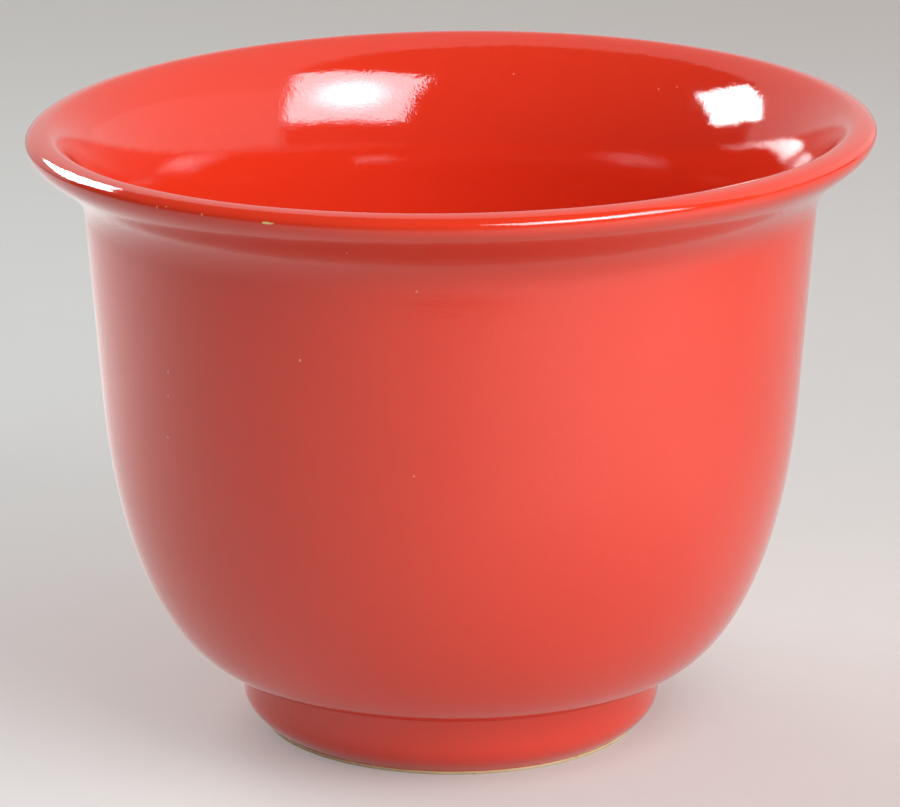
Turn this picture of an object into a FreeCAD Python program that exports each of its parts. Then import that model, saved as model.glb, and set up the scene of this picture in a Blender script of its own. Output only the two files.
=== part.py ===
import FreeCAD, Part
import os

# Glazed earthenware jardiniere bowl: a deep round body with a flared, rolled rim on a set-in foot ring.
# Millimetres, +Z up. The origin is the middle of the standing plane, under the axis of the pot.
# Every outline lies in the XZ plane, as (radius, height) points, and is turned about the Z axis.

os.makedirs("parts", exist_ok=True)

# Driving dimensions of the glazed surface
overall_height = 243.7
rim_radius = 165.0
crest_inset = 8.0
rim_drop = 4.0
flare_depth = 33.7
mouth_depth = 53.7
throat_radius = 142.5
waist_radius = 136.6
foot_radius = 82.8
foot_height = 26.1

# Walls, counted with their glaze
wall_thickness = 9.5
floor_thickness = 10.0
floor_flat_radius = 76.0

# Foot ring: its outside rolls under to a narrow standing face, its inside is a turned recess
foot_roll_width = 9.5
foot_roll_height = 13.2
standing_width = 6.0
foot_wall = 12.0
recess_corner_radius = 1.5
bare_height = 1.3

# Coats and joint
glaze_thickness = 0.6
lute_thickness = 0.6

# Length of each curve's handles, as a share of the run named in its first word
# Heights run between the ends of the curve, and radii between its two radii
waist_height_share = 0.58
bowl_base_handle_share = 0.53
bowl_side_handle_share = 0.57
flare_wall_handle_share = 0.545
flare_edge_handle_share = 0.296
rim_handle_share = 0.5523
mouth_crest_handle_share = 0.235
mouth_wall_handle_share = 0.615
inner_side_handle_share = 0.55
inner_floor_handle_share = 0.55
roll_start_width_share = 0.3
roll_start_height_share = 0.22
roll_side_height_share = 0.53

# Heights and radii that follow from them
crest_radius = rim_radius - crest_inset
rim_edge_height = overall_height - rim_drop
throat_height = overall_height - flare_depth
waist_height = foot_height + waist_height_share * (throat_height - foot_height)
base_height = foot_height + lute_thickness
floor_height = base_height + floor_thickness
standing_radius = foot_radius - foot_roll_width
recess_radius = standing_radius - standing_width
recess_top_radius = foot_radius - foot_wall
inner_throat_radius = throat_radius - wall_thickness
inner_waist_radius = waist_radius - wall_thickness


def vec(radius, height):
    return FreeCAD.Vector(radius, 0, height)


def toward(start, end, length):
    """The point that lies a length from start on the way to end."""
    step = end - start
    return start + step * (length / step.Length)


def inset(poles, depth):
    """A curve's poles moved square to it, to the left of its run, with handles drawn in alike."""
    first = poles[1] - poles[0]
    last = poles[-1] - poles[-2]
    start = poles[0] + FreeCAD.Vector(-first.z, 0, first.x) * (depth / first.Length)
    end = poles[-1] + FreeCAD.Vector(-last.z, 0, last.x) * (depth / last.Length)
    if len(poles) == 2:
        return [start, end]
    ratio = (end - start).Length / (poles[-1] - poles[0]).Length
    return [start, start + first * ratio, end - last * ratio, end]


def edge(poles):
    """A straight edge for two poles, or a cubic curve for four."""
    if len(poles) == 2:
        return Part.LineSegment(poles[0], poles[1]).toShape()
    curve = Part.BezierCurve()
    curve.setPoles(poles)
    return curve.toShape()


def turned(runs):
    """A solid turned about the Z axis from runs of poles, closed by straight edges where they part."""
    edges = []
    for index, poles in enumerate(runs):
        edges.append(edge(poles))
        nxt = runs[(index + 1) % len(runs)]
        if (nxt[0] - poles[-1]).Length > Part.Precision.confusion():
            edges.append(Part.LineSegment(poles[-1], nxt[0]).toShape())
    face = Part.Face(Part.Wire(edges))
    return face.revolve(FreeCAD.Vector(0, 0, 0), FreeCAD.Vector(0, 0, 1), 360)


def reverse(runs):
    """The same runs, followed the other way."""
    return [list(reversed(poles)) for poles in reversed(runs)]


def outside_runs():
    """The glazed outside, from the crease above the foot up to the crest of the rim."""
    crease = vec(foot_radius, foot_height)
    waist = vec(waist_radius, waist_height)
    throat = vec(throat_radius, throat_height)
    brim = vec(rim_radius, rim_edge_height)
    crest = vec(crest_radius, overall_height)
    wall = throat - waist
    base_handle = bowl_base_handle_share * (waist_radius - foot_radius)
    side_handle = bowl_side_handle_share * (waist_height - foot_height)
    wall_handle = flare_wall_handle_share * (rim_edge_height - throat_height)
    edge_handle = flare_edge_handle_share * (rim_edge_height - throat_height)
    bowl = [crease, crease + vec(base_handle, 0), toward(waist, waist - wall, side_handle), waist]
    flare = [throat, toward(throat, throat + wall, wall_handle), brim - vec(0, edge_handle), brim]
    rim_rise = rim_handle_share * rim_drop
    rim_run = rim_handle_share * crest_inset
    rim = [brim, brim + vec(0, rim_rise), crest + vec(rim_run, 0), crest]
    return [bowl, [waist, throat], flare, rim]


def inside_runs():
    """The glazed inside, from the crest of the rim down to the middle of the floor."""
    crest = vec(crest_radius, overall_height)
    throat = vec(inner_throat_radius, throat_height)
    waist = vec(inner_waist_radius, waist_height)
    floor_edge = vec(floor_flat_radius, floor_height)
    wall = throat - waist
    mouth_start = throat - wall * ((mouth_depth - flare_depth) / (throat_height - waist_height))
    crest_handle = mouth_crest_handle_share * (crest_radius - mouth_start.x)
    mouth_handle = mouth_wall_handle_share * mouth_depth
    side_handle = inner_side_handle_share * (waist_height - floor_height)
    floor_handle = inner_floor_handle_share * (inner_waist_radius - floor_flat_radius)
    above = toward(mouth_start, mouth_start + wall, mouth_handle)
    mouth = [crest, crest - vec(crest_handle, 0), above, mouth_start]
    bowl = [waist, toward(waist, waist - wall, side_handle), floor_edge + vec(floor_handle, 0), floor_edge]
    return [mouth, [mouth_start, waist], bowl, [floor_edge, vec(0, floor_height)]]


def foot_outside_runs():
    """The glazed outside of the foot, from its standing edge round the roll and up to the crease."""
    standing = vec(standing_radius, 0)
    side = vec(foot_radius, foot_roll_height)
    first = standing + vec(roll_start_width_share * foot_roll_width, roll_start_height_share * foot_roll_height)
    second = side - vec(0, roll_side_height_share * foot_roll_height)
    return [[standing, first, second, side], [side, vec(foot_radius, foot_height)]]


def recess_runs():
    """The glazed recess inside the foot, from its standing edge up and in to the axis."""
    bottom = vec(recess_radius, 0)
    ceiling = base_height - glaze_thickness
    corner = vec(recess_top_radius - glaze_thickness, ceiling)
    below = toward(corner, bottom, recess_corner_radius)
    beside = corner - vec(recess_corner_radius, 0)
    pull = rim_handle_share * recess_corner_radius
    round_corner = [below, toward(below, corner, pull), toward(beside, corner, pull), beside]
    return [[bottom, below], round_corner, [beside, vec(0, ceiling)]]


def inset_runs(runs):
    """Glazed runs moved into the clay by the depth of the glaze, each joined to the next."""
    return [inset(poles, glaze_thickness) for poles in runs]


def foot_clay_runs():
    """The clay's outside below the foot glaze, which starts on the standing plane."""
    runs = inset_runs(foot_outside_runs())
    runs[0][0] = vec(runs[0][0].x, 0)
    return runs


def coat(glazed_runs, clay_runs):
    """The coat between a glazed surface and the clay below it."""
    return turned(glazed_runs + reverse(clay_runs))


def make_vessel_body():
    """The thrown clay pot: floor, wall, flare and rolled rim in one piece, under its glaze."""
    base = [vec(0, base_height), vec(foot_radius, base_height)]
    return turned([base] + inset_runs(outside_runs()) + inset_runs(inside_runs()))


def make_foot_ring():
    """The clay ring that carries the pot, with a bare standing face and a recess inside."""
    inner_top = vec(recess_top_radius, foot_height)
    inner_bottom = vec(recess_radius + glaze_thickness, 0)
    return turned(foot_clay_runs() + [[inner_top, inner_bottom]])


def make_luting_slip():
    """The thin ring of dried slip that joins the foot ring to the underside of the pot."""
    inner_bottom = vec(recess_top_radius, foot_height)
    outer_bottom = vec(foot_radius, foot_height)
    outer_top = vec(foot_radius, base_height)
    inner_top = vec(recess_top_radius, base_height)
    return turned([[inner_bottom, outer_bottom], [outer_top, inner_top]])


def make_outer_glaze():
    """The red glaze on the outside, from the crease over the flare to the crest of the rim."""
    glazed = outside_runs()
    return coat(glazed, inset_runs(glazed))


def make_inner_glaze():
    """The red glaze on the inside, from the crest of the rim down over the floor."""
    glazed = inside_runs()
    return coat(glazed, inset_runs(glazed))


def bare_zone():
    """The lowest slice of the foot, which is wiped clean of glaze before the firing."""
    return Part.makeCylinder(rim_radius, bare_height)


def make_foot_glaze():
    """The glaze round the foot, which stops short of the standing edge."""
    return coat(foot_outside_runs(), foot_clay_runs()).cut(bare_zone())


def make_underside_glaze():
    """The glaze inside the recess of the foot, over the clay ring's inside and the pot's underside."""
    clay_corner = vec(recess_top_radius, base_height)
    clay_bottom = vec(recess_radius + glaze_thickness, 0)
    lining = turned(recess_runs() + [[vec(0, base_height), clay_corner], [clay_corner, clay_bottom]])
    return lining.cut(bare_zone())


def export(name, shape):
    shape.exportStep("parts/" + name + ".step")
    print(name, "solids", len(shape.Solids), "valid", shape.isValid(), "volume", round(shape.Volume))


export("vessel_body", make_vessel_body())
export("foot_ring", make_foot_ring())
export("luting_slip", make_luting_slip())
export("outer_glaze", make_outer_glaze())
export("inner_glaze", make_inner_glaze())
export("foot_glaze", make_foot_glaze())
export("underside_glaze", make_underside_glaze())
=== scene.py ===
import math

import bpy
import numpy as np
from mathutils import Matrix, Vector


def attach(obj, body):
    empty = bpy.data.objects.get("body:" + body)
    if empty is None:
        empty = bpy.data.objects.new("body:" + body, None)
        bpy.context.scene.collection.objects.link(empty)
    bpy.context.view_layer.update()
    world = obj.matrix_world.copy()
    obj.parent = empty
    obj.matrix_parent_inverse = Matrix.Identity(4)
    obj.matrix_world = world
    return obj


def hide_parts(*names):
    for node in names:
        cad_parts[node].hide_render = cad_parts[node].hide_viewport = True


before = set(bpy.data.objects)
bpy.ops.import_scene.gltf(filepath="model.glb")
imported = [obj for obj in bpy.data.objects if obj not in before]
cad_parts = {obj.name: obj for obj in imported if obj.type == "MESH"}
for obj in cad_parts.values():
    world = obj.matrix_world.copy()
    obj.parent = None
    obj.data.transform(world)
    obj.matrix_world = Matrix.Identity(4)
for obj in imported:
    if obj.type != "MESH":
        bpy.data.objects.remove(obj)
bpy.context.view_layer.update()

# A glazed earthenware jardiniere: a deep round bowl with a flared, rolled rim on a set-in foot ring.
# Sizes are in millimetres, as in the workshop, and become metres where a mesh or a pattern is made.
MM = 0.001

# The pot's own sizes, the same as in its solids
OVERALL_HEIGHT = 243.7
RIM_RADIUS = 165.0
CREST_RADIUS = 157.0
RIM_DROP = 4.0
FLARE_DEPTH = 33.7
MOUTH_DEPTH = 53.7
THROAT_RADIUS = 142.5
WAIST_RADIUS = 136.6
FOOT_RADIUS = 82.8
FOOT_HEIGHT = 26.1
WALL = 9.5
FLOOR_THICKNESS = 10.0
FLOOR_FLAT_RADIUS = 76.0
ROLL_WIDTH = 9.5
ROLL_HEIGHT = 13.2
STANDING_WIDTH = 6.0
FOOT_WALL = 12.0
RECESS_CORNER = 1.5
BARE_HEIGHT = 1.3
GLAZE = 0.6
LUTE = 0.6

# Handles of the pot's curves, as shares of the runs that they follow
WAIST_HEIGHT_SHARE = 0.58
BOWL_SHARES = (0.53, 0.57)
FLARE_SHARES = (0.545, 0.296)
ROUND_SHARE = 0.5523
MOUTH_SHARES = (0.235, 0.615)
INSIDE_SHARES = (0.55, 0.55)
ROLL_SHARES = (0.3, 0.22, 0.53)

# Heights and radii that follow
BRIM_HEIGHT = OVERALL_HEIGHT - RIM_DROP
THROAT_HEIGHT = OVERALL_HEIGHT - FLARE_DEPTH
WAIST_HEIGHT = FOOT_HEIGHT + WAIST_HEIGHT_SHARE * (THROAT_HEIGHT - FOOT_HEIGHT)
BASE_HEIGHT = FOOT_HEIGHT + LUTE
FLOOR_HEIGHT = BASE_HEIGHT + FLOOR_THICKNESS
STANDING_RADIUS = FOOT_RADIUS - ROLL_WIDTH
RECESS_RADIUS = STANDING_RADIUS - STANDING_WIDTH
RECESS_TOP_RADIUS = FOOT_RADIUS - FOOT_WALL

# What the hand adds: the bare edge is sponged in by this much, and glaze pools this high in the crease, with an
# edge that runs out under the bowl by this share of its height
SPONGED = 0.4
POOL = 1.2
POOL_STEPS = 8
POOL_RUN = 1.3

# How far the drying clay pulled the rim out of true: it leans, tilts and saddles a little
LEAN = -0.0053
TILT_X = 0.0193
TILT_Y = -0.0032
SADDLE = -0.747
# The pull grows with height, and stops growing just over the rim
PULL_LIMIT = 1.05

# How finely the meshes are drawn: steps round the pot, and millimetres along each run of a profile
AROUND = 720
OUTSIDE_SPACING = (2.4, 3.0, 1.2, 0.45)
INSIDE_SPACING = (1.2, 3.0, 2.4, 4.0)
FOOT_SPACING = (0.5, 1.6)
RECESS_SPACING = (2.0, 0.4, 4.0)
FLAT_SPACING = 4.0
FOOT_WALL_SPACING = 2.0
# Steps by which a straight run and a curve are measured
STRAIGHT_STEPS = 50
CURVE_STEPS = 400
# Points nearer than this are one point
TOUCHING = 1e-6


# Profiles: points of radius and height in the half plane of the axis

def point(radius, height):
    """One point of a profile."""
    return np.array([radius, height], float)


def toward(start, end, length):
    """The point that lies a length from start on the way to end."""
    step = end - start
    return start + step * (length / np.linalg.norm(step))


def inset(poles, depth):
    """A curve's poles moved square to it by a depth, to the left of its run."""
    first, last = poles[1] - poles[0], poles[-1] - poles[-2]
    start = poles[0] + np.array([-first[1], first[0]]) * (depth / np.linalg.norm(first))
    end = poles[-1] + np.array([-last[1], last[0]]) * (depth / np.linalg.norm(last))
    if len(poles) == 2:
        return [start, end]
    ratio = np.linalg.norm(end - start) / np.linalg.norm(poles[-1] - poles[0])
    return [start, start + first * ratio, end - last * ratio, end]


def drawn(poles, spacing):
    """Points about a spacing apart along a straight run or a cubic curve."""
    if len(poles) == 2:
        share = np.linspace(0, 1, STRAIGHT_STEPS)[:, None]
        line = poles[0] * (1 - share) + poles[1] * share
    else:
        share = np.linspace(0, 1, CURVE_STEPS)[:, None]
        back = 1 - share
        line = (back**3 * poles[0] + 3 * back**2 * share * poles[1] + 3 * back * share**2 * poles[2]
                + share**3 * poles[3])
    run = np.concatenate([[0], np.cumsum(np.linalg.norm(np.diff(line, axis=0), axis=1))])
    count = max(2, int(math.ceil(run[-1] / spacing)) + 1)
    even = np.linspace(0, run[-1], count)
    return np.stack([np.interp(even, run, line[:, 0]), np.interp(even, run, line[:, 1])], 1)


def joined(*runs):
    """Runs of points end to end, with a point that two share kept once."""
    line = runs[0]
    for run in runs[1:]:
        start = 1 if np.linalg.norm(run[0] - line[-1]) < TOUCHING else 0
        line = np.vstack([line, run[start:]])
    return line


def line_of(runs, spacings, depth=0.0):
    """The points of a profile's runs, or of the runs at a depth under them."""
    return joined(*[drawn(inset(poles, depth) if depth else poles, spacing)
                    for poles, spacing in zip(runs, spacings)])


def above(line, height):
    """The part of a line that lies above a height, with the cut end put on it."""
    first = int(np.argmax(line[:, 1] > height))
    low, high = line[first - 1], line[first]
    share = (height - low[1]) / (high[1] - low[1])
    return np.vstack([low + (high - low) * share, line[first:]])


def outside_runs():
    """The glazed outside, from the crease above the foot up to the crest of the rim."""
    crease = point(FOOT_RADIUS, FOOT_HEIGHT)
    waist = point(WAIST_RADIUS, WAIST_HEIGHT)
    throat = point(THROAT_RADIUS, THROAT_HEIGHT)
    brim = point(RIM_RADIUS, BRIM_HEIGHT)
    crest = point(CREST_RADIUS, OVERALL_HEIGHT)
    wall = throat - waist
    rise = BRIM_HEIGHT - THROAT_HEIGHT
    bowl = [crease, crease + point(BOWL_SHARES[0] * (WAIST_RADIUS - FOOT_RADIUS), 0),
            toward(waist, waist - wall, BOWL_SHARES[1] * (WAIST_HEIGHT - FOOT_HEIGHT)), waist]
    flare = [throat, toward(throat, throat + wall, FLARE_SHARES[0] * rise),
             brim - point(0, FLARE_SHARES[1] * rise), brim]
    rim = [brim, brim + point(0, ROUND_SHARE * RIM_DROP),
           crest + point(ROUND_SHARE * (RIM_RADIUS - CREST_RADIUS), 0), crest]
    return [bowl, [waist, throat], flare, rim]


def inside_runs():
    """The glazed inside, from the crest of the rim down to the middle of the floor."""
    crest = point(CREST_RADIUS, OVERALL_HEIGHT)
    throat = point(THROAT_RADIUS - WALL, THROAT_HEIGHT)
    waist = point(WAIST_RADIUS - WALL, WAIST_HEIGHT)
    floor_edge = point(FLOOR_FLAT_RADIUS, FLOOR_HEIGHT)
    wall = throat - waist
    start = throat - wall * ((MOUTH_DEPTH - FLARE_DEPTH) / (THROAT_HEIGHT - WAIST_HEIGHT))
    mouth = [crest, crest - point(MOUTH_SHARES[0] * (CREST_RADIUS - start[0]), 0),
             toward(start, start + wall, MOUTH_SHARES[1] * MOUTH_DEPTH), start]
    bowl = [waist, toward(waist, waist - wall, INSIDE_SHARES[0] * (WAIST_HEIGHT - FLOOR_HEIGHT)),
            floor_edge + point(INSIDE_SHARES[1] * (WAIST_RADIUS - WALL - FLOOR_FLAT_RADIUS), 0), floor_edge]
    return [mouth, [start, waist], bowl, [floor_edge, point(0, FLOOR_HEIGHT)]]


def pot_skin(depth):
    """The pot's outside and inside in one line, at a depth under the glazed face."""
    return joined(line_of(outside_runs(), OUTSIDE_SPACING, depth), line_of(inside_runs(), INSIDE_SPACING, depth))


def foot_runs():
    """The glazed outside of the foot, from its standing edge round the roll and up to the crease."""
    standing = point(STANDING_RADIUS, 0)
    side = point(FOOT_RADIUS, ROLL_HEIGHT)
    first = standing + point(ROLL_SHARES[0] * ROLL_WIDTH, ROLL_SHARES[1] * ROLL_HEIGHT)
    second = side - point(0, ROLL_SHARES[2] * ROLL_HEIGHT)
    return [[standing, first, second, side], [side, point(FOOT_RADIUS, FOOT_HEIGHT)]]


def foot_clay_line():
    """The clay under the foot's glaze, which starts on the standing plane."""
    runs = [inset(poles, GLAZE) for poles in foot_runs()]
    runs[0][0] = point(runs[0][0][0], 0)
    return line_of(runs, FOOT_SPACING)


def recess_runs():
    """The glazed recess inside the foot, from its standing edge up and in to the axis."""
    bottom = point(RECESS_RADIUS, 0)
    ceiling = BASE_HEIGHT - GLAZE
    corner = point(RECESS_TOP_RADIUS - GLAZE, ceiling)
    below = toward(corner, bottom, RECESS_CORNER)
    beside = corner - point(RECESS_CORNER, 0)
    pull = ROUND_SHARE * RECESS_CORNER
    turn = [below, toward(below, corner, pull), toward(beside, corner, pull), beside]
    return [[bottom, below], turn, [beside, point(0, ceiling)]]


# Meshes

def warped(points):
    """Points in millimetres, moved as the pot was pulled out of true."""
    x, y, z = points[:, 0], points[:, 1], points[:, 2]
    share = np.minimum(z / OVERALL_HEIGHT, PULL_LIMIT) ** 2
    lift = share * (TILT_X * x + TILT_Y * y + SADDLE * (x * x - y * y) / RIM_RADIUS**2)
    return np.stack([x + LEAN * z, y, z + lift], 1)


def turned(name, profile):
    """A closed mesh turned about the axis from a profile, whose ends on the axis close in one point."""
    angle = np.linspace(0, 2 * math.pi, AROUND, endpoint=False)
    cos, sin = np.cos(angle), np.sin(angle)
    points, rows, first = [], [], 0
    for radius, height in profile:
        if radius < TOUCHING:
            ring = np.array([[0.0, 0.0, height]])
            rows.append([first] * AROUND)
        else:
            ring = np.stack([radius * cos, radius * sin, np.full(AROUND, height)], 1)
            rows.append(list(range(first, first + AROUND)))
        points.append(ring)
        first += len(ring)
    rows = np.array(rows)
    pairs = list(zip(range(len(rows) - 1), range(1, len(rows))))
    if profile[0][0] > TOUCHING and profile[-1][0] > TOUCHING:
        pairs.append((len(rows) - 1, 0))
    faces = []
    for low, high in pairs:
        a, b = rows[low], np.roll(rows[low], -1)
        c, d = np.roll(rows[high], -1), rows[high]
        if a[0] == b[0] and c[0] == d[0]:
            continue
        if a[0] == b[0]:
            corners = [a, c, d]
        elif c[0] == d[0]:
            corners = [a, b, c]
        else:
            corners = [a, b, c, d]
        faces += np.stack(corners, 1).tolist()
    mesh = bpy.data.meshes.new(name)
    mesh.from_pydata((warped(np.vstack(points)) * MM).tolist(), [], faces)
    mesh.update()
    mesh.shade_smooth()
    piece = bpy.data.objects.new(name, mesh)
    bpy.context.scene.collection.objects.link(piece)
    return piece


def make_red_glaze():
    """The red glaze over the outside, the rim and the inside, one coat from the crease to the floor."""
    return turned("red_glaze", joined(pot_skin(0.0), pot_skin(GLAZE)[::-1]))


def make_clay_pot():
    """The thrown pot of buff clay under the glaze."""
    base = drawn([point(0, BASE_HEIGHT), point(FOOT_RADIUS, BASE_HEIGHT)], FLAT_SPACING)
    return turned("clay_pot", joined(base, pot_skin(GLAZE)))


def make_foot_clay():
    """The clay ring. Its bare edge was sponged round, so that it stands almost flush with the glaze above it."""
    outside = foot_clay_line()
    face = line_of(foot_runs(), FOOT_SPACING)
    flush = np.interp(BARE_HEIGHT, face[:, 1], face[:, 0])
    bare = np.array([point(flush - SPONGED, 0), point(flush - SPONGED / 3, BARE_HEIGHT / 2),
                     point(flush - SPONGED / 4, BARE_HEIGHT)])
    inside = drawn([point(RECESS_TOP_RADIUS, FOOT_HEIGHT), point(RECESS_RADIUS + GLAZE, 0)], FOOT_WALL_SPACING)
    return turned("foot_clay", joined(bare, outside[outside[:, 1] > BARE_HEIGHT], inside))


def make_foot_glaze():
    """The glaze round the foot. It has pooled in the crease under the bowl and rounds it out."""
    back = above(foot_clay_line(), BARE_HEIGHT)
    face = above(line_of(foot_runs(), FOOT_SPACING), BARE_HEIGHT)
    face = face[face[:, 1] < FOOT_HEIGHT - POOL]
    pool = [point(FOOT_RADIUS + POOL * (1 - math.cos(turn)), FOOT_HEIGHT - POOL * (1 - math.sin(turn)))
            for turn in np.linspace(0, math.pi / 2, POOL_STEPS)]
    # The pool's edge runs on into the bowl's own glaze, so that it doesn't show
    tongue = point(FOOT_RADIUS + POOL_RUN * POOL, FOOT_HEIGHT + GLAZE / 4)
    return turned("foot_red_glaze", joined(face, np.array(pool + [tongue]), back[::-1]))


def make_recess_glaze():
    """The glaze inside the foot, over the ring's inside and the pot's underside."""
    face = above(line_of(recess_runs(), RECESS_SPACING), BARE_HEIGHT)
    back = drawn([point(0, BASE_HEIGHT), point(RECESS_TOP_RADIUS, BASE_HEIGHT)], FLAT_SPACING)
    wall = drawn([point(RECESS_RADIUS + GLAZE, 0), point(RECESS_TOP_RADIUS, BASE_HEIGHT)], FOOT_WALL_SPACING)
    return turned("recess_red_glaze", joined(face, back, above(wall, BARE_HEIGHT)[::-1]))


def make_slip():
    """The flat ring of slip between the pot and the foot."""
    return turned("slip_joint", np.array([point(RECESS_TOP_RADIUS, FOOT_HEIGHT), point(FOOT_RADIUS, FOOT_HEIGHT),
                                          point(FOOT_RADIUS, BASE_HEIGHT), point(RECESS_TOP_RADIUS, BASE_HEIGHT)]))


# Materials

def colour(hexcode):
    """An sRGB hex colour as linear RGBA."""
    parts = [int(hexcode[i:i + 2], 16) / 255 for i in (1, 3, 5)]
    return tuple(c / 12.92 if c <= 0.04045 else ((c + 0.055) / 1.055) ** 2.4 for c in parts) + (1.0,)


def add(tree, kind, settings=None, wires=None, **links):
    """Adds a node. Settings name its properties or sockets. Wires and links name the sockets that others feed."""
    node = tree.nodes.new("ShaderNode" + kind)
    for name, value in (settings or {}).items():
        if isinstance(name, int) or (name in node.inputs and not hasattr(node, name)):
            node.inputs[name].default_value = value
        else:
            setattr(node, name, value)
    named = {name.replace("_", " "): source for name, source in links.items()}
    for name, source in {**(wires or {}), **named}.items():
        tree.links.new(source, node.inputs[name])
    return node


def new_material(name):
    """A new material, with its node tree and its shader."""
    made = bpy.data.materials.new(name)
    made.use_nodes = True
    return made, made.node_tree, made.node_tree.nodes["Principled BSDF"]


# Flaws of the glaze, as bearing in degrees (0 to the right, -90 to the front), height and radius
SPECKS = ((-130.6, 240.2, 0.45), (-129.1, 240.9, 0.35), (-123.2, 240.2, 0.45), (-104.0, 227.8, 0.45),
          (-94.9, 211.2, 0.4), (-139.7, 166.7, 0.5), (-140.2, 157.0, 0.35), (-141.2, 139.7, 0.45),
          (-113.2, 181.9, 0.5), (-95.6, 139.4, 0.35), (22.0, 188.0, 0.4), (101.0, 214.0, 0.4), (148.0, 96.0, 0.5))
INNER_SPECKS = ((79.6, 229.1, 0.35), (53.4, 228.2, 0.4), (50.0, 230.1, 0.35))
# Half the width over which a speck's edge fades
SPECK_EDGE = 0.12
# The chip on the rim, as bearing, height, length and width, how ragged its edge is, and the width of its teeth
CHIP = (-113.5, 239.7, 4.6, 1.0)
CHIP_RAGGED = 0.9
CHIP_TEETH = 0.7
# The two ends of the scratch, as bearing and height, and the inner and outer edge of its line
SCRATCH = ((-9.0, 102.5), (-20.0, 96.0))
SCRATCH_EDGES = (0.15, 0.45)


def on_pot(bearing, height, line):
    """The place on the warped pot at a bearing in degrees and a height, on a profile that runs up."""
    radius, angle = np.interp(height, line[:, 1], line[:, 0]), math.radians(bearing)
    true = np.array([[radius * math.cos(angle), radius * math.sin(angle), height]])
    return tuple((warped(true)[0] * MM).tolist())


def specks(tree, place):
    """Pale specks in the glaze: 1 inside each, 0 away from them."""
    outside, inside = line_of(outside_runs(), OUTSIDE_SPACING), line_of(inside_runs(), INSIDE_SPACING)[::-1]
    nearest = None
    for bearing, height, radius, line in [(*s, outside) for s in SPECKS] + [(*s, inside) for s in INNER_SPECKS]:
        middle = on_pot(bearing, height, line)
        gap = add(tree, "VectorMath", {"operation": "DISTANCE", 1: middle}, {0: place}).outputs["Value"]
        edge = add(tree, "Math", {"operation": "SUBTRACT", 1: radius * MM}, {0: gap}).outputs[0]
        if nearest is None:
            nearest = edge
        else:
            nearest = add(tree, "Math", {"operation": "MINIMUM"}, {0: nearest, 1: edge}).outputs[0]
    return add(tree, "MapRange", {"From Min": -SPECK_EDGE * MM, "From Max": SPECK_EDGE * MM,
                                  "To Min": 1.0, "To Max": 0.0}, Value=nearest).outputs[0]


def chip(tree, place):
    """The flake that is gone from the rim: 1 where the clay is bare, with a ragged edge."""
    bearing, height, length, width = CHIP
    middle = on_pot(bearing, height, line_of(outside_runs(), OUTSIDE_SPACING))
    across = 1 / (length / 2 * MM)
    along = (-math.sin(math.radians(bearing)) * across, math.cos(math.radians(bearing)) * across, 0)
    offset = add(tree, "VectorMath", {"operation": "SUBTRACT", 1: middle}, {0: place}).outputs[0]
    run = add(tree, "VectorMath", {"operation": "DOT_PRODUCT", 1: along}, {0: offset})
    rise = add(tree, "VectorMath", {"operation": "DOT_PRODUCT", 1: (0, 0, 1 / (width / 2 * MM))}, {0: offset})
    flat = add(tree, "CombineXYZ", X=run.outputs["Value"], Y=rise.outputs["Value"]).outputs[0]
    away = add(tree, "VectorMath", {"operation": "LENGTH"}, {0: flat}).outputs["Value"]
    near = add(tree, "VectorMath", {"operation": "LENGTH"}, {0: offset}).outputs["Value"]
    ragged = add(tree, "TexNoise", {"Scale": 1 / (CHIP_TEETH * MM), "Detail": 2.0}, Vector=place).outputs["Fac"]
    edge = add(tree, "Math", {"operation": "MULTIPLY_ADD", 1: CHIP_RAGGED, 2: -CHIP_RAGGED / 2},
               {0: ragged}).outputs[0]
    shape = add(tree, "Math", {"operation": "ADD"}, {0: away, 1: edge}).outputs[0]
    inside = add(tree, "MapRange", {"From Min": 0.8, "From Max": 1.1, "To Min": 1.0, "To Max": 0.0},
                 Value=shape).outputs[0]
    here = add(tree, "Math", {"operation": "LESS_THAN", 1: length * MM}, {0: near}).outputs[0]
    return add(tree, "Math", {"operation": "MULTIPLY"}, {0: inside, 1: here}).outputs[0]


def scratch(tree, place):
    """A scratch down the belly: 1 along its line, thinning out to both ends."""
    outside = line_of(outside_runs(), OUTSIDE_SPACING)
    start, end = (Vector(on_pot(bearing, height, outside)) for bearing, height in SCRATCH)
    along = (end - start).normalized()
    half = (end - start).length / 2
    offset = add(tree, "VectorMath", {"operation": "SUBTRACT", 1: tuple((start + end) / 2)}, {0: place}).outputs[0]
    across = add(tree, "VectorMath", {"operation": "CROSS_PRODUCT", 1: tuple(along)}, {0: offset}).outputs[0]
    off = add(tree, "VectorMath", {"operation": "LENGTH"}, {0: across}).outputs["Value"]
    run = add(tree, "VectorMath", {"operation": "DOT_PRODUCT", 1: tuple(along)}, {0: offset}).outputs["Value"]
    far = add(tree, "Math", {"operation": "ABSOLUTE"}, {0: run}).outputs[0]
    line = add(tree, "MapRange", {"From Min": SCRATCH_EDGES[0] * MM, "From Max": SCRATCH_EDGES[1] * MM,
                                  "To Min": 1.0, "To Max": 0.0}, Value=off).outputs[0]
    ends = add(tree, "MapRange", {"From Min": half * 0.5, "From Max": half, "To Min": 1.0, "To Max": 0.0},
               Value=far).outputs[0]
    return add(tree, "Math", {"operation": "MULTIPLY"}, {0: line, 1: ends}).outputs[0]


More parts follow.
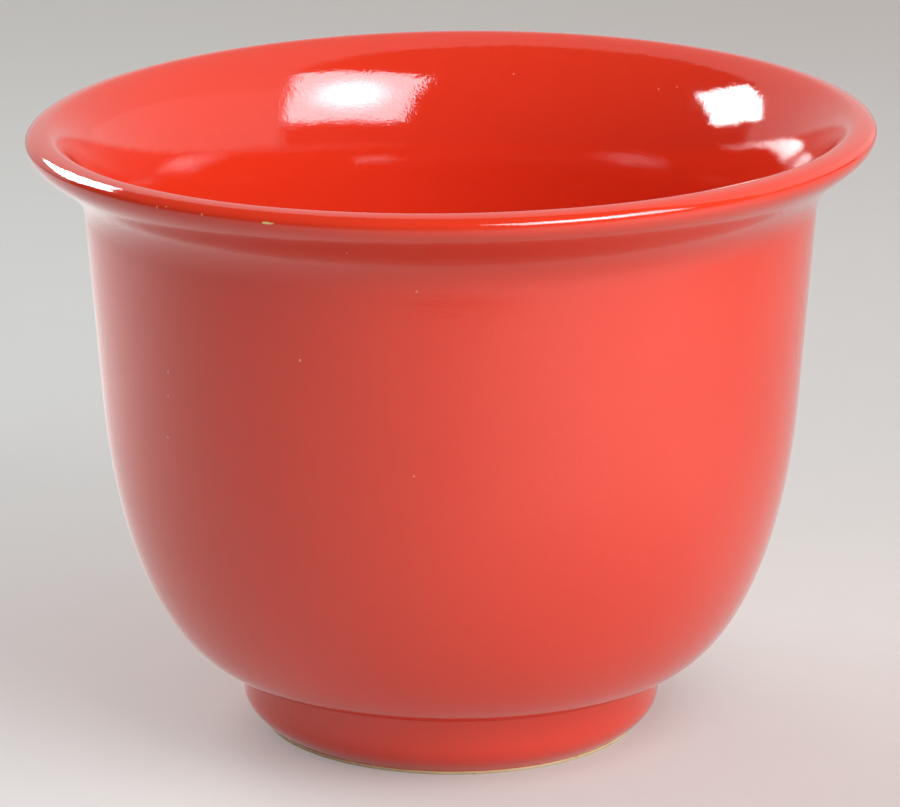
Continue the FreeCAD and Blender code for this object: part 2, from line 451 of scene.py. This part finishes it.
def glazed_red():
    """Opaque red earthenware glaze, dipped and fired: a bright, wet gloss over an even orange red."""
    made, tree, shader = new_material("red_earthenware_glaze")
    shader.inputs["IOR"].default_value = 1.65
    place = add(tree, "TexCoord").outputs["Object"]
    bare, dots, cut = chip(tree, place), specks(tree, place), scratch(tree, place)
    # Thicker and thinner glaze, in patches about 60 mm wide, with a fine mottle of 2 mm
    patches = add(tree, "TexNoise", {"Scale": 1 / (60 * MM), "Detail": 3.0}, Vector=place).outputs["Fac"]
    mottle = add(tree, "TexNoise", {"Scale": 1 / (2 * MM), "Detail": 3.0}, Vector=place).outputs["Fac"]
    blend = add(tree, "Mix", {"data_type": "FLOAT", 0: 0.25}, {2: patches, 3: mottle}).outputs[0]
    tone = add(tree, "Mix", {"data_type": "RGBA", 6: colour("#DB331A"), 7: colour("#E53C22")}, Factor=blend).outputs[2]
    # Scraped glaze in the scratch, pale specks, and the buff clay in the chip
    for flaw, shows in ((cut, "#A8503F"), (dots, "#F2917E"), (bare, "#EBCB8C")):
        tone = add(tree, "Mix", {"data_type": "RGBA", 7: colour(shows)}, {6: tone}, Factor=flaw).outputs[2]
    tree.links.new(tone, shader.inputs["Base Color"])
    # Gloss a little duller where hands and the kiln's breath touched it, and dry clay in the chip
    haze = add(tree, "TexNoise", {"Scale": 1 / (45 * MM), "Detail": 4.0}, Vector=place).outputs["Fac"]
    gloss = add(tree, "MapRange", {"From Min": 0.35, "From Max": 0.75, "To Min": 0.04, "To Max": 0.075},
                Value=haze).outputs[0]
    dry = add(tree, "Math", {"operation": "MAXIMUM"}, {0: bare, 1: cut}).outputs[0]
    dull = add(tree, "Mix", {"data_type": "FLOAT", 3: 0.75}, {2: gloss}, Factor=dry).outputs[0]
    tree.links.new(dull, shader.inputs["Roughness"])
    # The glaze's orange peel, about 1.1 mm from top to top, on slow waves of 9 mm
    peel = add(tree, "TexNoise", {"Scale": 1 / (1.1 * MM), "Detail": 1.0, "Roughness": 0.7},
               Vector=place).outputs["Fac"]
    wave = add(tree, "TexNoise", {"Scale": 1 / (9 * MM), "Detail": 1.0}, Vector=place).outputs["Fac"]
    low = add(tree, "Bump", {"Distance": 0.14 * MM, "Strength": 0.5}, Height=wave)
    fine = add(tree, "Bump", {"Distance": 0.06 * MM, "Strength": 0.6}, Height=peel, Normal=low.outputs["Normal"])
    # The chip and the scratch lie 0.25 mm deep
    sunk = add(tree, "Bump", {"Distance": 0.25 * MM, "Strength": 0.8, "invert": True}, Height=dry,
               Normal=fine.outputs["Normal"])
    tree.links.new(sunk.outputs["Normal"], shader.inputs["Normal"])
    return made


# How wide the wave texture draws one ring at a scale of 1
WAVE_WIDTH = math.pi / 10


def buff_clay():
    """Bare biscuit earthenware, turned and sponged: dry, buff, gritty, with a few iron specks."""
    made, tree, shader = new_material("buff_earthenware_clay")
    shader.inputs["Roughness"].default_value = 0.82
    shader.inputs["Specular IOR Level"].default_value = 0.25
    place = add(tree, "TexCoord").outputs["Object"]
    # Warmer and paler clay in patches of 25 mm, grains of 0.5 mm, and iron specks about 3.5 mm apart
    patches = add(tree, "TexNoise", {"Scale": 1 / (25 * MM), "Detail": 4.0}, Vector=place).outputs["Fac"]
    grain = add(tree, "TexNoise", {"Scale": 1 / (0.5 * MM), "Detail": 2.0}, Vector=place).outputs["Fac"]
    tone = add(tree, "Mix", {"data_type": "RGBA", 6: colour("#D9BE90"), 7: colour("#F0DDB6")},
               Factor=patches).outputs[2]
    spots = add(tree, "TexVoronoi", {"Scale": 1 / (3.5 * MM)}, Vector=place).outputs["Distance"]
    iron = add(tree, "MapRange", {"From Min": 0.07, "From Max": 0.12, "To Min": 0.7, "To Max": 0.0},
               Value=spots).outputs[0]
    face = add(tree, "Mix", {"data_type": "RGBA", 7: colour("#7A5534")}, {6: tone}, Factor=iron).outputs[2]
    tree.links.new(face, shader.inputs["Base Color"])
    # The turning tool's rings, about 3.2 mm apart, below the grit
    rings = add(tree, "TexWave", {"wave_type": "RINGS", "rings_direction": "Z", "Scale": WAVE_WIDTH / (3.1582 * MM),
                                  "Distortion": 1.5}, Vector=place).outputs["Fac"]
    low = add(tree, "Bump", {"Distance": 0.05 * MM, "Strength": 0.5}, Height=rings)
    grit = add(tree, "Bump", {"Distance": 0.08 * MM, "Strength": 0.7}, Height=grain, Normal=low.outputs["Normal"])
    tree.links.new(grit.outputs["Normal"], shader.inputs["Normal"])
    return made


def dried_slip():
    """The clay cream that lutes the ring to the pot: the same clay, finer, paler and smoother."""
    made, tree, shader = new_material("dried_clay_slip")
    shader.inputs["Roughness"].default_value = 0.7
    place = add(tree, "TexCoord").outputs["Object"]
    # Smears of 8 mm, where the finger wiped it round the joint
    smears = add(tree, "TexNoise", {"Scale": 1 / (8 * MM), "Detail": 3.0}, Vector=place).outputs["Fac"]
    tone = add(tree, "Mix", {"data_type": "RGBA", 6: colour("#D2BA90"), 7: colour("#E8D8B4")},
               Factor=smears).outputs[2]
    tree.links.new(tone, shader.inputs["Base Color"])
    skin = add(tree, "Bump", {"Distance": 0.06 * MM, "Strength": 0.6}, Height=smears)
    tree.links.new(skin.outputs["Normal"], shader.inputs["Normal"])
    return made


# The paper floor, in metres: its size, where the gloss sees it end in front of the pot, where painted shade darkens it
# behind the pot, as it goes out of the light, and where a painted rosy light tints it from left to right
FLOOR_SIZE = 8.0
PAPER_FRONT = -0.62
PAPER_FAR_SHADE = (0.6, 1.5)
PAPER_ROSY_LIGHT = (-0.25, 0.25)
# A glow that only the camera and the gloss see, which makes the paper paler than the light that it throws back
PAPER_LIFT = 0.19
# The glare of the small lamp and of the soft box on the paper, as place, radius and brightness, and how far out
# from its middle it stays full
GLARES = ((-0.52, 0.42, 0.75, 0.5), (0.45, -0.38, 0.55, 0.42))
GLARE_HEART = 0.1


def pale_floor():
    """Pale studio paper. Gloss sees it end in front, where the room is dark, and glare on it by the lamps."""
    made, tree, shader = new_material("pale_paper_floor")
    shader.inputs["Roughness"].default_value = 0.9
    shader.inputs["Specular IOR Level"].default_value = 0.1
    place = add(tree, "TexCoord").outputs["Object"]
    apart = add(tree, "SeparateXYZ", Vector=place)
    path = add(tree, "LightPath")
    paper = add(tree, "Math", {"operation": "GREATER_THAN", 1: PAPER_FRONT}, {0: apart.outputs["Y"]}).outputs[0]
    either = add(tree, "Math", {"operation": "MAXIMUM"}, {0: path.outputs["Is Camera Ray"], 1: paper}).outputs[0]
    # Faint fibre clouds of 40 mm under fibres of 1.5 mm
    clouds = add(tree, "TexNoise", {"Scale": 1 / (40 * MM), "Detail": 4.0}, Vector=place).outputs["Fac"]
    fibre = add(tree, "TexNoise", {"Scale": 1 / (1.5 * MM), "Detail": 3.0}, Vector=place).outputs["Fac"]
    sheet = add(tree, "Mix", {"data_type": "RGBA", 6: colour("#C3C4C1"), 7: colour("#C7C8C5")},
                Factor=clouds).outputs[2]
    # Painted shade towards the paper's far end, where it goes out of the light, and painted rosy light towards the
    # right
    far = add(tree, "MapRange", {"interpolation_type": "SMOOTHSTEP", "From Min": PAPER_FAR_SHADE[0],
                                 "From Max": PAPER_FAR_SHADE[1]}, Value=apart.outputs["Y"]).outputs[0]
    sheet = add(tree, "Mix", {"data_type": "RGBA", 7: colour("#AEA9A3")}, {6: sheet}, Factor=far).outputs[2]
    # A faint painted rosy light, multiplied into the paper towards the right
    right = add(tree, "MapRange", {"interpolation_type": "SMOOTHSTEP", "From Min": PAPER_ROSY_LIGHT[0],
                                   "From Max": PAPER_ROSY_LIGHT[1]}, Value=apart.outputs["X"]).outputs[0]
    sheet = add(tree, "Mix", {"data_type": "RGBA", "blend_type": "MULTIPLY", 7: colour("#FBF4F3")}, {6: sheet},
                Factor=right).outputs[2]
    tone = add(tree, "Mix", {"data_type": "RGBA", 6: colour("#9C9996")}, {7: sheet}, Factor=either).outputs[2]
    tree.links.new(tone, shader.inputs["Base Color"])
    weave = add(tree, "Bump", {"Distance": 0.05 * MM, "Strength": 0.3}, Height=fibre)
    tree.links.new(weave.outputs["Normal"], shader.inputs["Normal"])
    glare = None
    for x, y, radius, level in GLARES:
        off = add(tree, "VectorMath", {"operation": "DISTANCE", 1: (x, y, 0.0)}, {0: place}).outputs["Value"]
        spot = add(tree, "MapRange", {"interpolation_type": "SMOOTHSTEP", "From Min": GLARE_HEART, "From Max": radius,
                                      "To Min": level, "To Max": 0.0}, Value=off).outputs[0]
        glare = spot if glare is None else add(tree, "Math", {"operation": "ADD"}, {0: glare, 1: spot}).outputs[0]
    glossed = add(tree, "Math", {"operation": "MULTIPLY"}, {0: paper, 1: path.outputs["Is Glossy Ray"]}).outputs[0]
    seen = add(tree, "Math", {"operation": "MAXIMUM"}, {0: path.outputs["Is Camera Ray"], 1: glossed}).outputs[0]
    pale = add(tree, "Math", {"operation": "MULTIPLY", 1: PAPER_LIFT}, {0: seen}).outputs[0]
    gloss = add(tree, "Math", {"operation": "MULTIPLY_ADD"},
                {0: glare, 1: path.outputs["Is Glossy Ray"], 2: pale}).outputs[0]
    shader.inputs["Emission Color"].default_value = colour("#FFFFFF")
    tree.links.new(gloss, shader.inputs["Emission Strength"])
    return made


# How far out from the middle the hot core of a lamp's cloth reaches, as a share of the cloth's width and height
CLOTH_HEART = 0.46


def shining_white(name, strength, tint, core=0.0, size=(1.0, 1.0)):
    """A white card or a lamp's cloth, lit. A core makes its middle hotter."""
    made, tree, _ = new_material(name)
    tree.nodes.clear()
    glow = add(tree, "Emission", {"Color": colour(tint), "Strength": strength})
    if core:
        place = add(tree, "TexCoord").outputs["Object"]
        share = add(tree, "VectorMath", {"operation": "DIVIDE", 1: (*size, 1.0)}, {0: place}).outputs[0]
        off = add(tree, "VectorMath", {"operation": "LENGTH"}, {0: share}).outputs["Value"]
        near = add(tree, "MapRange", {"interpolation_type": "SMOOTHERSTEP", "From Min": 0.0, "From Max": CLOTH_HEART,
                                      "To Min": strength * (1.0 + core), "To Max": strength}, Value=off).outputs[0]
        tree.links.new(near, glow.inputs["Strength"])
    add(tree, "OutputMaterial", Surface=glow.outputs[0])
    return made


# Pieces on the frame
red, clay, slip = glazed_red(), buff_clay(), dried_slip()
for maker, nodes, slot, material in (
        (make_red_glaze, ("outer_glaze", "inner_glaze"), "glaze", red), (make_clay_pot, ("vessel_body",), "clay", clay),
        (make_foot_clay, ("foot_ring",), "clay", clay), (make_foot_glaze, ("foot_glaze",), "glaze", red),
        (make_recess_glaze, ("underside_glaze",), "glaze", red), (make_slip, ("luting_slip",), "slip", slip)):
    piece = maker()
    piece.data.materials.append(material)
    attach(piece, "root")
    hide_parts(*nodes)


# Floor
bpy.ops.mesh.primitive_plane_add(size=FLOOR_SIZE, location=(0, 0, 0))
floor = bpy.context.object
floor.name = "paper_floor"
floor.data.materials.append(pale_floor())


# Camera: a long lens looking down at the pot. Places are in metres, angles in radians, lens and film in mm.
CAMERA_BACK = 2.031
CAMERA_UP = 0.717
CAMERA_PITCH = 0.2822
CAMERA_YAW = -0.0005
CAMERA_ROLL = 0.0053
CAMERA_LENS = 214.6
CAMERA_FILM = 36.0


def make_camera():
    """The camera in front of the pot, pitched down to it."""
    data = bpy.data.cameras.new("camera")
    data.lens, data.sensor_width, data.sensor_fit = CAMERA_LENS, CAMERA_FILM, "HORIZONTAL"
    camera = bpy.data.objects.new("camera", data)
    bpy.context.scene.collection.objects.link(camera)
    forward = Vector((math.sin(CAMERA_YAW) * math.cos(CAMERA_PITCH), math.cos(CAMERA_YAW) * math.cos(CAMERA_PITCH),
                      -math.sin(CAMERA_PITCH)))
    right = Vector((math.cos(CAMERA_YAW), -math.sin(CAMERA_YAW), 0))
    up = right.cross(forward)
    side = math.cos(CAMERA_ROLL) * right + math.sin(CAMERA_ROLL) * up
    top = math.cos(CAMERA_ROLL) * up - math.sin(CAMERA_ROLL) * right
    turn = Matrix((side, top, -forward)).transposed().to_4x4()
    camera.matrix_world = Matrix.Translation((0, -CAMERA_BACK, CAMERA_UP)) @ turn
    bpy.context.scene.camera = camera


make_camera()


# Lamps: a soft box at the front right and a small lamp behind on the left. Each stands at a place in metres and
# faces a bearing in degrees (0 straight back, 90 to the right), tilted down. Its radiance lights the pot, and the
# gloss sees its cloth instead, whose core can be hotter.
SOFT_BOX = {"place": (0.444, -0.561, 0.813), "size": (0.70, 0.53), "bearing": -44, "tilt": 32,
            "radiance": 4.3, "cloth": 9.05, "core": 1.5, "tint": "#F9F7FF"}
SMALL_LAMP = {"place": (-0.364, 0.237, 0.444), "size": (0.205, 0.140), "bearing": 129, "tilt": 32,
              "radiance": 4.6, "cloth": 30.0, "core": 0.0, "tint": "#FFFFFF"}

# White cards that only the gloss sees, in metres: a ceiling over the back, and a band of wall that hangs from it
CARD_WHITE = "#FFFDFC"
CARD_TOP = 0.55
CARD_BOTTOM = 0.28
CARD_LEVEL = 0.74
RIGHT_LEVEL = 0.92
RIGHT_FRONT = (0.30, -0.10)
RIGHT_BACK = (0.7, 1.4)
LEFT_BACK = (-1.2, 1.4)
LEFT_SIDE = (-1.8, 0.95)
# The ceiling card's other corners, and its front edge from left to right, which bends round the pot's mouth
CEILING_CORNERS = ((1.6, -0.10), (1.6, 3.0), (-1.8, 3.0))
CEILING_EDGE = ((-0.48, 0.40), (-0.322, 0.36), (-0.102, 0.108), (-0.006, 0.043), (0.17, 0.003))
# Half the width, and the distance, of the wall at the far end of the paper
FAR_WALL = 3.9


def card(name, corners, level, tint, *cloth):
    """A flat white card, lit to a level, that only the gloss sees."""
    mesh = bpy.data.meshes.new(name)
    mesh.from_pydata(corners, [], [list(range(len(corners)))])
    mesh.materials.append(shining_white(name, level, tint, *cloth))
    made = bpy.data.objects.new(name, mesh)
    bpy.context.scene.collection.objects.link(made)
    made.visible_camera = False
    made.visible_shadow = False
    made.visible_diffuse = False
    return made


def upright(name, start, end, level, bottom=CARD_BOTTOM):
    """An upright card between two places on the floor."""
    card(name, [(*start, bottom), (*start, CARD_TOP), (*end, CARD_TOP), (*end, bottom)], level, CARD_WHITE)


def aimed(shown, place, bearing, tilt):
    """Puts a lamp or its cloth at a place, facing a bearing and tilted down."""
    turn, drop = math.radians(bearing), math.radians(tilt)
    away = Vector((math.sin(turn) * math.cos(drop), math.cos(turn) * math.cos(drop), -math.sin(drop)))
    shown.rotation_mode = "QUATERNION"
    shown.rotation_quaternion = away.to_track_quat("-Z", "Y")
    shown.location = place
    shown.visible_camera = False


def lamp(name, place, size, bearing, tilt, radiance, cloth, core, tint):
    """An area lamp of a given radiance, and its white cloth, which only the gloss sees."""
    data = bpy.data.lights.new(name, "AREA")
    data.shape, data.size, data.size_y = "RECTANGLE", *size
    data.energy = radiance * math.pi * size[0] * size[1]
    shown = bpy.data.objects.new(name, data)
    bpy.context.scene.collection.objects.link(shown)
    aimed(shown, place, bearing, tilt)
    shown.visible_glossy = False
    x, y = size[0] / 2, size[1] / 2
    face = card(name + "_cloth", [(-x, -y, 0), (x, -y, 0), (x, y, 0), (-x, y, 0)], cloth, tint, core, size)
    aimed(face, place, bearing, tilt)


lamp("soft_box", **SOFT_BOX)
lamp("small_lamp", **SMALL_LAMP)
ceiling = (RIGHT_FRONT, *CEILING_CORNERS, LEFT_SIDE, *CEILING_EDGE)
card("overhead_card", [(*corner, CARD_TOP) for corner in ceiling], CARD_LEVEL, CARD_WHITE)
upright("right_card", RIGHT_FRONT, RIGHT_BACK, RIGHT_LEVEL)
upright("back_card", RIGHT_BACK, LEFT_BACK, CARD_LEVEL)
upright("left_back_card", LEFT_BACK, LEFT_SIDE, CARD_LEVEL)
upright("far_card", (FAR_WALL, FAR_WALL), (-FAR_WALL, FAR_WALL), CARD_LEVEL, 0.0)


# Fill light that the room throws back from the front right, the back left, high on the right and the front, as
# bearing (0 to the right, 90 to the back) and height in degrees, strength and sharpness
FILL = ((-34, 7, 3.72, 5.8), (135, 26, 3.3, 8.0), (4, 52, 0.45, 5.2), (-100, 20, 0.65, 6.0))


def studio():
    """The camera sees a pale backdrop, gloss sees the dark room, and the rest gets the fill of the white walls."""
    made = bpy.data.worlds.new("studio")
    made.use_nodes = True
    tree = made.node_tree
    back = tree.nodes["Background"]
    look = add(tree, "TexCoord").outputs["Generated"]
    path = add(tree, "LightPath")
    fill = None
    for bearing, height, strength, sharpness in FILL:
        turn, rise = math.radians(bearing), math.radians(height)
        source = (math.cos(turn) * math.cos(rise), math.sin(turn) * math.cos(rise), math.sin(rise))
        facing = add(tree, "VectorMath", {"operation": "DOT_PRODUCT", 1: source}, {0: look}).outputs["Value"]
        front = add(tree, "Math", {"operation": "MAXIMUM", 1: 0.0}, {0: facing}).outputs[0]
        lobe = add(tree, "Math", {"operation": "POWER", 1: sharpness}, {0: front}).outputs[0]
        lit = add(tree, "Math", {"operation": "MULTIPLY", 1: strength}, {0: lobe}).outputs[0]
        fill = lit if fill is None else add(tree, "Math", {"operation": "ADD"}, {0: fill, 1: lit}).outputs[0]
    light = add(tree, "CombineXYZ", X=fill, Y=fill, Z=fill).outputs[0]
    room = add(tree, "Mix", {"data_type": "RGBA", 7: colour("#3F3F3F")}, {6: light},
               Factor=path.outputs["Is Glossy Ray"]).outputs[2]
    tone = add(tree, "Mix", {"data_type": "RGBA", 7: colour("#CFCAC6")}, {6: room},
               Factor=path.outputs["Is Camera Ray"]).outputs[2]
    tree.links.new(tone, back.inputs["Color"])
    return made


bpy.context.scene.world = studio()
bpy.context.scene.view_settings.view_transform = "Standard"
